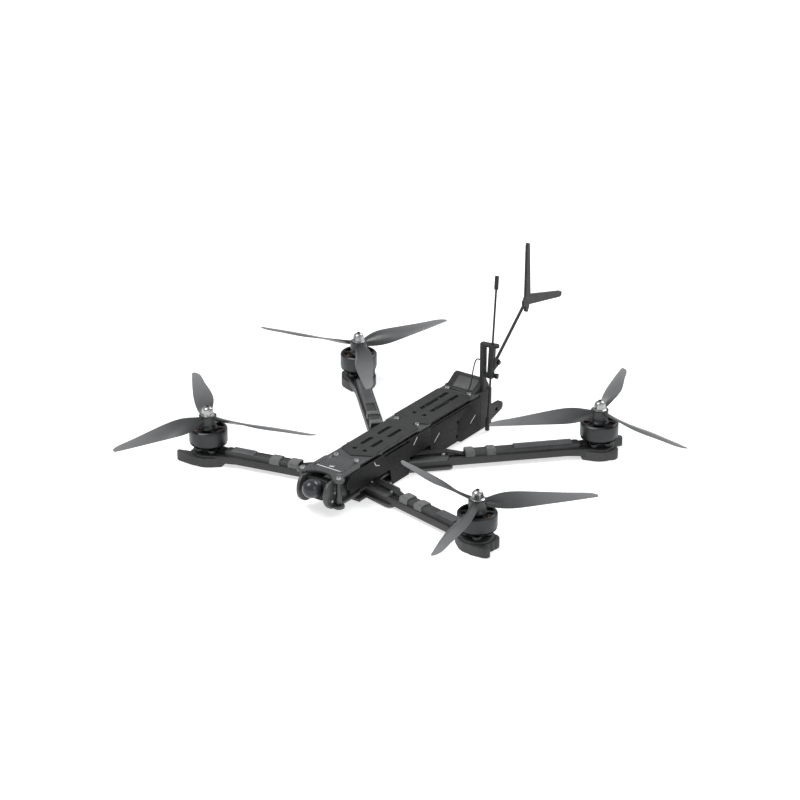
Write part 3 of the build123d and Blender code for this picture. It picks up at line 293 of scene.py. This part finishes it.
def glass(name):
    """Dark polished lens dome with a faint coating tint, paler with faint rings towards its rim: a painted
    reflection that follows the view angle.
    """
    shader = Shader(name, 0.2, specular=0.25)
    # painted reflection: the colour pales, with faint rings, where the dome turns away from the camera
    layer = shader.node("ShaderNodeLayerWeight")
    layer.inputs["Blend"].default_value = 0.35
    facing = layer.outputs["Facing"]
    rings = shader.math("SINE", shader.math("MULTIPLY", facing, 26.0))
    shade = shader.math("ADD", shader.math("MULTIPLY", rings, 0.12), facing)
    shader.colour(shade, (0.02, 0.021, 0.024), (0.045, 0.045, 0.048))
    shader.set("Coat Weight", 0.3)
    shader.set("Coat Roughness", 0.06)
    shader.set("Roughness", shader.spread(shader.noise(200, 2), 0.22, 0.34))
    return shader.material


def enamelled(name):
    """Wound copper wire: fine parallel turns with varnish."""
    shader = Shader(name, 0.35, 0.5, metallic=0.9)
    turns = shader.stripes(shader.split(shader.place)[2], WINDING_PITCH)
    shader.colour(turns, (0.1, 0.04, 0.025), (0.6, 0.3, 0.18))
    shader.bump(turns, 0.15 * MM, 0.8)
    return shader.material


def laminated(name):
    """Stacked motor laminations."""
    shader = Shader(name, 0.45, 0.4, metallic=0.8)
    sheets = shader.stripes(shader.split(shader.place)[2], LAMINATION)
    shader.colour(sheets, grey(0.06), grey(0.22))
    shader.bump(sheets, 0.04 * MM, 0.6)
    return shader.material


def circuit(name):
    """Black solder mask with faint copper tracks."""
    shader = Shader(name, 0.4, specular=0.5)
    cells = shader.node("ShaderNodeTexVoronoi", feature="DISTANCE_TO_EDGE", distance="CHEBYCHEV")
    shader.connect(shader.place, cells.inputs["Vector"])
    cells.inputs["Scale"].default_value = 520
    tracks = shader.math("LESS_THAN", cells.outputs["Distance"], 0.08)
    shader.colour(tracks, (0.012, 0.016, 0.02), (0.03, 0.045, 0.05))
    shader.bump(tracks, 0.03 * MM, 0.5)
    return shader.material


materials = {
    "carbon": carbon("carbon plate", grey(0.027, 0.02), grey(0.078, 0.01)),
    "arm_carbon": carbon("arm carbon", grey(0.016), grey(0.037), roughness=0.5),
    "pad_rubber": moulded("battery pad rubber", grey(0.027), 0.66, grain=1500, depth=0.08 * MM, wear=0.12),
    "side_panel": moulded("side panel plastic", grey(0.0115), 0.6, wear=0.06, specular=0.15),
    "anodised": turned("anodised standoff", grey(0.07, 0.02), 0.35),
    "steel": turned("screw steel", grey(0.5), 0.28, wear=0.9),
    "tpu": printed("printed guard", grey(0.046)),
    "tail_mount": printed("printed tail mount", grey(0.021)),
    "motor_metal": turned("motor anodising", grey(0.045, 0.03), 0.38, 0.85, wear=0.12),
    "lamination": laminated("stator laminations"),
    "copper": enamelled("copper windings"),
    "magnet": turned("nickel magnet", grey(0.4), 0.25),
    "shaft": turned("black shaft", grey(0.03), 0.3),
    "nut": turned("bright nut", grey(0.34), 0.24, wear=0.5),
    "antenna_screws": turned("black antenna screws", grey(0.035), 0.4, wear=0.3),
    "case": moulded("camera case", grey(0.012), 0.45, wear=0.15, specular=0.3),
    "lens": glass("lens glass"),
    "board": circuit("circuit board"),
    "nylon": moulded("stack nylon", grey(0.04), 0.5),
    "heatsink": turned("heatsink aluminium", grey(0.3), 0.4),
    "connector": moulded("battery connector", grey(0.025), 0.45),
    "gps_cover": moulded("receiver cover", grey(0.06), 0.45, wear=0.1),
    "antenna": moulded("antenna sleeve", grey(0.014), 0.5, wear=0.1),
    "wire": moulded("silicone wire", grey(0.014), 0.45, wear=0.0),
    "sleeve": moulded("arm duct", grey(0.04), 0.55, wear=0.12),
    "band": woven("woven tape", grey(0.12), grey(0.3)),
    "band_front": woven("woven front tape", grey(0.075), grey(0.2)),
    "band_rear": woven("woven rear tape", grey(0.05), grey(0.145)),
    # painted shade: a near-black sheet that darkens the floors of the pad's blind slots
    "film": moulded("painted slot shade", grey(0.006), 0.8, wear=0.0, specular=0.1),
    "mark": moulded("pale paint", grey(0.62), 0.5, wear=0.0),
    "cover": moulded("cover strip", grey(0.085, 0.03), 0.4, wear=0.15),
}

slots = {entry["node"]: entry["material_slot"] for entry in frame["record"]["subparts"]}
hinges = [joint for joint in frame["joints"] if joint["type"] == "hinge"]
centres = {joint["child"]: Vector(joint["pos_m"]) for joint in hinges}
for corner in CORNERS:
    materials[f"propeller_{corner}"] = blade_plastic(f"propeller {corner}", centres[f"rotor_{corner}"])

# ---------------------------------------------------------------- CAD pieces: materials and rounded edges
EDGE_ROUND = {
    "side_panel": 0.15 * MM, "carbon": 0.18 * MM, "motor_metal": 0.25 * MM, "case": 0.4 * MM,
    "tpu": 0.45 * MM,
}
EDGE_ROUND_USUAL = 0.2 * MM
EDGE_SHARPER_THAN = math.radians(38)
LEFT_AS_CUT = ("propeller", "magnet", "wire", "antenna")


def soften(obj, width):
    """Weld a CAD mesh and round its sharp edges a little."""
    weld = obj.modifiers.new("weld", "WELD")
    weld.merge_threshold = 0.002 * MM
    bevel = obj.modifiers.new("bevel", "BEVEL")
    bevel.width = width
    bevel.segments = 2
    bevel.limit_method = "ANGLE"
    bevel.angle_limit = EDGE_SHARPER_THAN
    bevel.harden_normals = True
    for polygon in obj.data.polygons:
        polygon.use_smooth = True


# a material listed under a node's own name goes before the one of its slot
for name, obj in nodes.items():
    slot = slots[name]
    obj.data.materials.clear()
    obj.data.materials.append(materials.get(name) or materials[slot])
    if slot not in LEFT_AS_CUT:
        soften(obj, EDGE_ROUND.get(slot, EDGE_ROUND_USUAL))


# ---------------------------------------------------------------- mesh helpers
def piece(name, rings, material, body, smooth=30):
    """A solid made of equal closed rings of points joined in order, riding on a body."""
    mesh = bmesh.new()
    rows = [[mesh.verts.new(point) for point in ring] for ring in rings]
    count = len(rows[0])
    for near, far in zip(rows, rows[1:]):
        for i in range(count):
            mesh.faces.new((near[i], near[(i + 1) % count], far[(i + 1) % count], far[i]))
    mesh.faces.new(list(reversed(rows[0])))
    mesh.faces.new(rows[-1])
    bmesh.ops.recalc_face_normals(mesh, faces=mesh.faces)
    return finish_mesh(name, mesh, material, body, smooth)


def finish_mesh(name, mesh, material, body, smooth):
    """Turn a mesh into a piece of the scene, smooth apart from edges sharper than some degrees."""
    data = bpy.data.meshes.new(name)
    for face in mesh.faces:
        face.smooth = True
    for line in mesh.edges:
        if len(line.link_faces) == 2 and line.calc_face_angle(0) > math.radians(smooth):
            line.smooth = False
    mesh.to_mesh(data)
    mesh.free()
    data.materials.append(material)
    obj = bpy.data.objects.new(name, data)
    scene.collection.objects.link(obj)
    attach(obj, body)
    return obj


def turned_rings(profile, centre, segments, limit=None):
    """Rings of a turned solid from (radius, height, shaped) points; limit(angle) caps a shaped radius."""
    rings = []
    for radius, height, shaped in profile:
        ring = []
        for step in range(segments):
            angle = 2 * math.pi * step / segments
            reach = min(radius, limit(angle)) if shaped else radius
            x, y = centre.x + reach * math.cos(angle), centre.y + reach * math.sin(angle)
            ring.append(Vector((x, y, height)))
        rings.append(ring)
    return rings


# ---------------------------------------------------------------- propeller nuts and shaft ends
NUT_APOTHEM = 4.9 * MM
NUT_TURNED_R = 5.9 * MM
FLANGE_R = 7.0 * MM
DOME_R = 5.7 * MM
DOME_FOOT = 4.6 * MM
DOME_TURN = math.radians(72)
DOME_STEPS = 8
SHAFT_R = 2.5 * MM
SHAFT_TIP_R = 1.6 * MM
SHAFT_TIP_RISE = 0.9 * MM


def hexagon(angle):
    """Reach of the nut's flats at an angle."""
    flat = math.pi / 3
    return NUT_APOTHEM / math.cos((angle + flat / 2) % flat - flat / 2)


def nut_profile(low, shaft_top):
    """Flange, hexagon and dome of a nut that stands at a height."""
    profile = [
        (SHAFT_R, low, False), (FLANGE_R - 0.3 * MM, low, False), (FLANGE_R, low + 0.25 * MM, False),
        (FLANGE_R, low + 0.8 * MM, False), (FLANGE_R - 0.5 * MM, low + 1.1 * MM, False),
        (NUT_TURNED_R, low + 1.5 * MM, True), (NUT_TURNED_R, low + 1.7 * MM, True),
        (NUT_TURNED_R, low + DOME_FOOT, True),
    ]
    crown = shaft_top - 0.1 * MM
    for step in range(1, DOME_STEPS + 1):
        turn = DOME_TURN * step / DOME_STEPS
        rise = (crown - low - DOME_FOOT) * math.sin(turn) / math.sin(DOME_TURN)
        profile.append((DOME_R * math.cos(turn), low + DOME_FOOT + rise, True))
    profile.append((SHAFT_TIP_R + 0.1 * MM, crown - 0.2 * MM, False))
    return profile


def spindle_profile(bottom, nut_low, shaft_top):
    """Motor shaft that narrows inside the nut and shows its chamfered tip over it."""
    tip = shaft_top + SHAFT_TIP_RISE
    return [
        (SHAFT_R, bottom, False), (SHAFT_R, nut_low + 4 * MM, False),
        (SHAFT_TIP_R, nut_low + 4.4 * MM, False), (SHAFT_TIP_R, tip - 0.6 * MM, False),
        (SHAFT_TIP_R - 0.25 * MM, tip - 0.15 * MM, False), (SHAFT_TIP_R - 0.8 * MM, tip, False),
    ]


for corner in CORNERS:
    body = f"rotor_{corner}"
    nut_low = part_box(f"prop_nut_{corner}")[0].z
    shaft_low, shaft_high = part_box(f"shaft_{corner}")
    rings = turned_rings(nut_profile(nut_low, shaft_high.z), centres[body], 72, hexagon)
    nut = piece(f"nut_{corner}", rings, materials["nut"], body)
    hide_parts(f"prop_nut_{corner}")
    rings = turned_rings(spindle_profile(shaft_low.z, nut_low, shaft_high.z), centres[body], 32)
    shaft = piece(f"spindle_{corner}", rings, materials["shaft"], body)
    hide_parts(f"shaft_{corner}")

# ---------------------------------------------------------------- wire ducts and woven bands on the arms
ARM_ANGLE = {"front": math.radians(12.25), "rear": math.radians(46.1)}
ARM_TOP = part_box("arm_front_left")[1].z
SLEEVE_HALF = 6.0 * MM
SLEEVE_H = 5.0 * MM
SLEEVE_START = 21 * MM
SLEEVE_END = {"front": 96 * MM, "rear": 136 * MM}
SLEEVE_STATIONS = 40
SLEEVE_WALL = 0.35 * SLEEVE_H
CROWN_SHARE = 0.72
SHOULDER_SHARE = 0.62
WIRE_PITCH = 4 * MM
HUMP_H = 0.75 * MM
# where each band begins and ends, inward from the motor, in millimetres
BANDS = {"front": ((70, 80.5), (90, 101)), "rear": ((106.5, 115), (128, 137))}
BAND_T = 0.75 * MM
BAND_GAP = 0.05 * MM
BAND_FOOT = 0.5 * MM
BAND_BEND_R = 1.7 * MM
BAND_STATIONS = 10
LAP_T = 0.35 * MM
# the points of a band's path that its lap covers: one shoulder and the crown
LAP_FIRST, LAP_END = 4, 14


def on_arm(corner, along, across, up):
    """A point over an arm: distance inward from the motor, sideways, and above the arm's top."""
    row, side = corner.split("_")
    sign_x = 1 if side == "left" else -1
    sign_y = -1 if row == "front" else 1
    angle = ARM_ANGLE[row]
    inward = Vector((-sign_x * math.cos(angle), -sign_y * math.sin(angle), 0))
    sideways = Vector((-inward.y, inward.x, 0))
    motor = centres[f"rotor_{corner}"]
    return Vector((motor.x, motor.y, ARM_TOP + up)) + inward * along + sideways * across


def sleeve_section():
    """Duct over three wires, as (across, up) points: flat foot, walls, round shoulders and three humps."""
    outline = [(-SLEEVE_HALF, 0.0), (-SLEEVE_HALF, SLEEVE_WALL)]
    steps = 36
    for step in range(steps + 1):
        across = -SLEEVE_HALF + 2 * SLEEVE_HALF * step / steps
        hump = abs(math.cos(math.pi * across / WIRE_PITCH))
        fall = max(0.0, abs(across) / SLEEVE_HALF - CROWN_SHARE) / (1 - CROWN_SHARE)
        shoulder = math.sqrt(max(1 - fall, 0.0))
        top = (SLEEVE_H - HUMP_H) * (SHOULDER_SHARE + (1 - SHOULDER_SHARE) * shoulder) + HUMP_H * hump
        outline.append((across, min(top, SLEEVE_H)))
    return outline + [(SLEEVE_HALF, SLEEVE_WALL), (SLEEVE_HALF, 0.0)]


def sleeve_ring(corner, along, inset):
    """One ring of a duct, drawn in by an inset; a faint wave runs along its top."""
    wave = 0.06 * MM * math.sin(0.9 * along / MM)
    narrow = 1 - inset / SLEEVE_HALF
    return [
        on_arm(corner, along, across * narrow, max(0.0, up - inset + wave) if up else 0.0)
        for across, up in sleeve_section()
    ]


# the four ducts share one CAD node, so the first one replaces it
for corner in CORNERS:
    length = SLEEVE_END[corner.split("_")[0]] - SLEEVE_START
    rings = []
    for step in range(SLEEVE_STATIONS + 1):
        inset = 0.35 * MM if step in (0, SLEEVE_STATIONS) else 0.0
        rings.append(sleeve_ring(corner, SLEEVE_START + length * step / SLEEVE_STATIONS, inset))
    sleeve = piece(f"sleeve_{corner}", rings, materials["sleeve"], "airframe", smooth=40)
    if corner == CORNERS[0]:
        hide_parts("wire_sleeves")


def band_path(offset):
    """Over a duct from side to side: foot, wall, round shoulder, crown and down again."""
    half = SLEEVE_HALF + BAND_GAP + offset
    top = SLEEVE_H + BAND_GAP + offset
    bend = BAND_BEND_R + offset
    path = [
        (-half - BAND_FOOT, 0.4 * offset), (-half - 0.35 * BAND_FOOT, 0.8 * offset + 0.25 * MM),
        (-half, 1.4 * MM),
    ]
    turns = 6
    for step in range(turns + 1):
        angle = math.pi - math.pi / 2 * step / turns
        path.append((-half + bend + bend * math.cos(angle), top - bend + bend * math.sin(angle)))
    path += [(-2.5 * MM, top), (0.0, top + 0.08 * MM)]
    return path + [(-across, up) for across, up in reversed(path[:-1])]


def band_rings(corner, begin, end, inner, outer):
    """Rings of a strip of tape between two offsets from a duct, with rippled edges."""
    rings = []
    for step in range(BAND_STATIONS + 1):
        along = begin + (end - begin) * step / BAND_STATIONS
        thin = 0.25 * MM if step in (0, BAND_STATIONS) else 0.0
        ring = []
        for index, (across, up) in enumerate(band_path(outer - thin) + band_path(inner)[::-1]):
            ripple = 0.22 * MM * math.sin(1.7 * index + begin / MM)
            ring.append(on_arm(corner, along + ripple, across, max(up, 0.0)))
        rings.append(ring)
    return rings


# the bands share one CAD node too; each is a strip with the tape's end lapped over it
for corner in CORNERS:
    row = corner.split("_")[0]
    tape = materials[f"band_{row}"]
    for number, (begin, end) in enumerate(BANDS[row]):
        rings = band_rings(corner, begin * MM, end * MM, 0.0, BAND_T)
        band = piece(f"band_{corner}_{number}", rings, tape, "airframe", smooth=50)
        if corner == CORNERS[0] and number == 0:
            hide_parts("wire_bands")
        rings = band_rings(corner, (begin + 0.8) * MM, (end - 0.6) * MM, BAND_T, BAND_T + LAP_T)
        lap = [ring[LAP_FIRST:LAP_END] + ring[-LAP_END:-LAP_FIRST] for ring in rings]
        piece(f"band_lap_{corner}_{number}", lap, tape, "airframe", smooth=50)

# ---------------------------------------------------------------- battery pad
pad_mesh = bmesh.new()
pad_mesh.from_mesh(nodes["battery_pad"].data)
bmesh.ops.remove_doubles(pad_mesh, verts=pad_mesh.verts, dist=0.005 * MM)
bmesh.ops.dissolve_limit(
    pad_mesh, angle_limit=math.radians(1), verts=pad_mesh.verts, edges=pad_mesh.edges,
)
pad = finish_mesh("deck_pad", pad_mesh, materials["pad_rubber"], "airframe", smooth=180)
pad_bevel = pad.modifiers.new("soft edge", "BEVEL")
pad_bevel.width = 0.45 * MM
pad_bevel.segments = 4
pad_bevel.limit_method = "ANGLE"
pad_bevel.harden_normals = True
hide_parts("battery_pad")

# dark film under the pad, a painted shade that darkens the floors of its blind slots; it leaves the strap slots
# open
FILM_T = 0.1 * MM
FILM_HALF = 9.2 * MM
FILM_CUT = 1.2 * MM
FILM_SPANS = ((-88.0 * MM, -12.0 * MM), (5.0 * MM, 37.5 * MM), (62.5 * MM, 80.5 * MM))
deck_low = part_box("battery_pad")[0].z
# each sheet is painted shade for the blind slots above it
for number, (begin, end) in enumerate(FILM_SPANS):
    inner = FILM_HALF - FILM_CUT
    outline = [
        (-FILM_HALF, begin + FILM_CUT), (-inner, begin), (inner, begin), (FILM_HALF, begin + FILM_CUT),
        (FILM_HALF, end - FILM_CUT), (inner, end), (-inner, end), (-FILM_HALF, end - FILM_CUT),
    ]
    rings = [[Vector((x, y, deck_low + up)) for x, y in outline] for up in (0.0, FILM_T)]
    piece(f"deck_slot_shade_{number}", rings, materials["film"], "airframe")

# ---------------------------------------------------------------- ribbed strip beside the receiver
RIBS = 9
RIB_H = 0.45 * MM
RIB_HALF = 0.55 * MM
RIB_BEGIN, RIB_END = -17.6 * MM, -12.4 * MM
RIB_ROUND = 0.4 * MM
RIB_SUNK = 0.02 * MM
HOOD_LOW = Vector((0, 89.0 * MM, 41.5 * MM))
HOOD_HIGH = Vector((0, 105.0 * MM, 52.0 * MM))
up_slope = (HOOD_HIGH - HOOD_LOW).normalized()
slope_out = Vector((0, -up_slope.z, up_slope.y))


def rib_ring(base, size):
    """Half-round section of a rib on the hood's slope, at a share of its full size."""
    ring = []
    for step in range(7):
        angle = math.pi * step / 6
        rise = RIB_H * size * math.sin(angle) - RIB_SUNK
        ring.append(base + up_slope * (RIB_HALF * size * math.cos(angle)) + slope_out * rise)
    return ring


RIB_SECTIONS = ((RIB_BEGIN, 0.7), (RIB_BEGIN + RIB_ROUND, 1.0), (RIB_END - RIB_ROUND, 1.0), (RIB_END, 0.7))
for number in range(RIBS):
    middle = HOOD_LOW + (HOOD_HIGH - HOOD_LOW) * ((number + 0.9) / (RIBS + 0.8))
    rings = [rib_ring(middle + Vector((x, 0, 0)), size) for x, size in RIB_SECTIONS]
    piece(f"hood_rib_{number}", rings, materials["tail_mount"], "airframe", smooth=50)

# ---------------------------------------------------------------- plain pale marks
MARK_T = 0.12 * MM
MARK_W = 0.9 * MM
MARK_SKEW = 0.08
UP = (0, 0, 1)


def mark(name, place, along, across, normal, length, width):
    """A thin painted bar with slanted ends, standing just proud of a face."""
    along, across, normal = Vector(along).normalized(), Vector(across).normalized(), Vector(normal)
    ends = ((-0.5, -0.5), (0.5 - MARK_SKEW, -0.5), (0.5, 0.5), (MARK_SKEW - 0.5, 0.5))
    corners = [along * (u * length) + across * (v * width) for u, v in ends]
    rings = []
    for up, size in ((0.0, 1.0), (0.7 * MARK_T, 1.0), (MARK_T, 0.88)):
        rings.append([Vector(place) + normal * up + corner * size for corner in corners])
    piece(name, rings, materials["mark"], "airframe", smooth=20)


# place along the body, height, length and slant of each bar, in millimetres and degrees
SIDE_MARKS = (
    (-88.5, 34.5, 7.0, -58), (-83.5, 31.2, 5.0, -25), (-21.2, 33.4, 9.5, 46), (16.0, 23.0, 12.0, 38),
    (80.0, 19.0, 11.5, 34),
)
SIDES = {"left": 1, "right": -1}
for side, outward in SIDES.items():
    low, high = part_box(f"side_panel_{side}")
    face_x = high.x if side == "left" else low.x
    for number, (along_y, height, length, slant) in enumerate(SIDE_MARKS):
        cos, sin = math.cos(math.radians(slant)), math.sin(math.radians(slant))
        place = (face_x, along_y * MM, height * MM)
        mark(
            f"side_mark_{side}_{number}", place, (0, cos, sin), (0, -sin, cos), (outward, 0, 0),
            length * MM, MARK_W,
        )

plate_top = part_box("top_plate")[1].z
line_place = (-0.9 * MM, -132.6 * MM, plate_top)
mark("nose_mark_line", line_place, (1, 0, 0), (0, 1, 0), UP, 30 * MM, 1.1 * MM)
bar_place = (-0.6 * MM, -128.0 * MM, plate_top)
mark("nose_mark_bar", bar_place, (1, 0.3, 0), (-0.3, 1, 0), UP, 5 * MM, 1.8 * MM)

# ---------------------------------------------------------------- floor
FLOOR_SIZE = 60
FLOOR_GAP = 0.2 * MM
FLOOR_GLOW = 0.9
floor_shader = Shader("studio floor", 0.9, specular=0.1)
floor_shade = floor_shader.mix(floor_shader.noise(3, 2), grey(0.66), grey(0.70))
floor_shader.set("Base Color", floor_shade)
floor_shader.set("Emission Color", floor_shade)
floor_shader.set("Emission Strength", FLOOR_GLOW)
bpy.ops.mesh.primitive_plane_add(size=FLOOR_SIZE, location=(0, 0, cad_box[0].z - FLOOR_GAP))
floor = bpy.context.object
floor.name = "floor"
floor.data.materials.append(floor_shader.material)


# ---------------------------------------------------------------- lights and backdrop
def area_light(name, place, target, size, power):
    """A round soft light aimed at a point."""
    data = bpy.data.lights.new(name, "AREA")
    data.shape = "DISK"
    data.size = size
    data.energy = power
    light = bpy.data.objects.new(name, data)
    light.location = place
    light.rotation_euler = (Vector(target) - Vector(place)).to_track_quat("-Z", "Y").to_euler()
    scene.collection.objects.link(light)


area_light("key", (-0.9, -1.2, 2.6), (0, 0, 0), 1.8, 62)
area_light("rim", (0.6, 2.2, 1.9), (0, 0, 0.05), 1.4, 34)
area_light("fill", (2.4, -0.6, 1.2), (0, 0, 0.05), 1.6, 12)

# a soft blue-white sky lights the craft, and the camera sees plain white
SKY_COLOUR = (0.95, 0.97, 1.0, 1)
SKY_STRENGTH = 0.55
world = bpy.data.worlds.new("studio")
world.use_nodes = True
world_nodes, world_links = world.node_tree.nodes, world.node_tree.links
sky = world_nodes["Background"]
sky.inputs["Color"].default_value = SKY_COLOUR
sky.inputs["Strength"].default_value = SKY_STRENGTH
white = world_nodes.new("ShaderNodeBackground")
white.inputs["Strength"].default_value = 1.0
ray_kind = world_nodes.new("ShaderNodeLightPath")
chooser = world_nodes.new("ShaderNodeMixShader")
world_links.new(ray_kind.outputs["Is Camera Ray"], chooser.inputs[0])
world_links.new(sky.outputs[0], chooser.inputs[1])
world_links.new(white.outputs[0], chooser.inputs[2])
world_links.new(chooser.outputs[0], world_nodes["World Output"].inputs["Surface"])
scene.world = world
scene.view_settings.view_transform = "Standard"

# ---------------------------------------------------------------- camera
AZIMUTH = math.radians(35.37)
ELEVATION = math.radians(24.46)
DISTANCE = 2.799
AIM = Vector((0, -0.016, 0.070))
LENS_MM = 128.0
SENSOR_MM = 36.0
level = math.cos(ELEVATION)
back = Vector((math.sin(AZIMUTH) * level, -math.cos(AZIMUTH) * level, math.sin(ELEVATION)))
camera_data = bpy.data.cameras.new("camera")
camera_data.lens = LENS_MM
camera_data.sensor_width = SENSOR_MM
camera_data.clip_start = 0.05
camera = bpy.data.objects.new("camera", camera_data)
camera.location = AIM + back * DISTANCE
camera.rotation_euler = (-back).to_track_quat("-Z", "Y").to_euler()
scene.collection.objects.link(camera)
scene.camera = camera
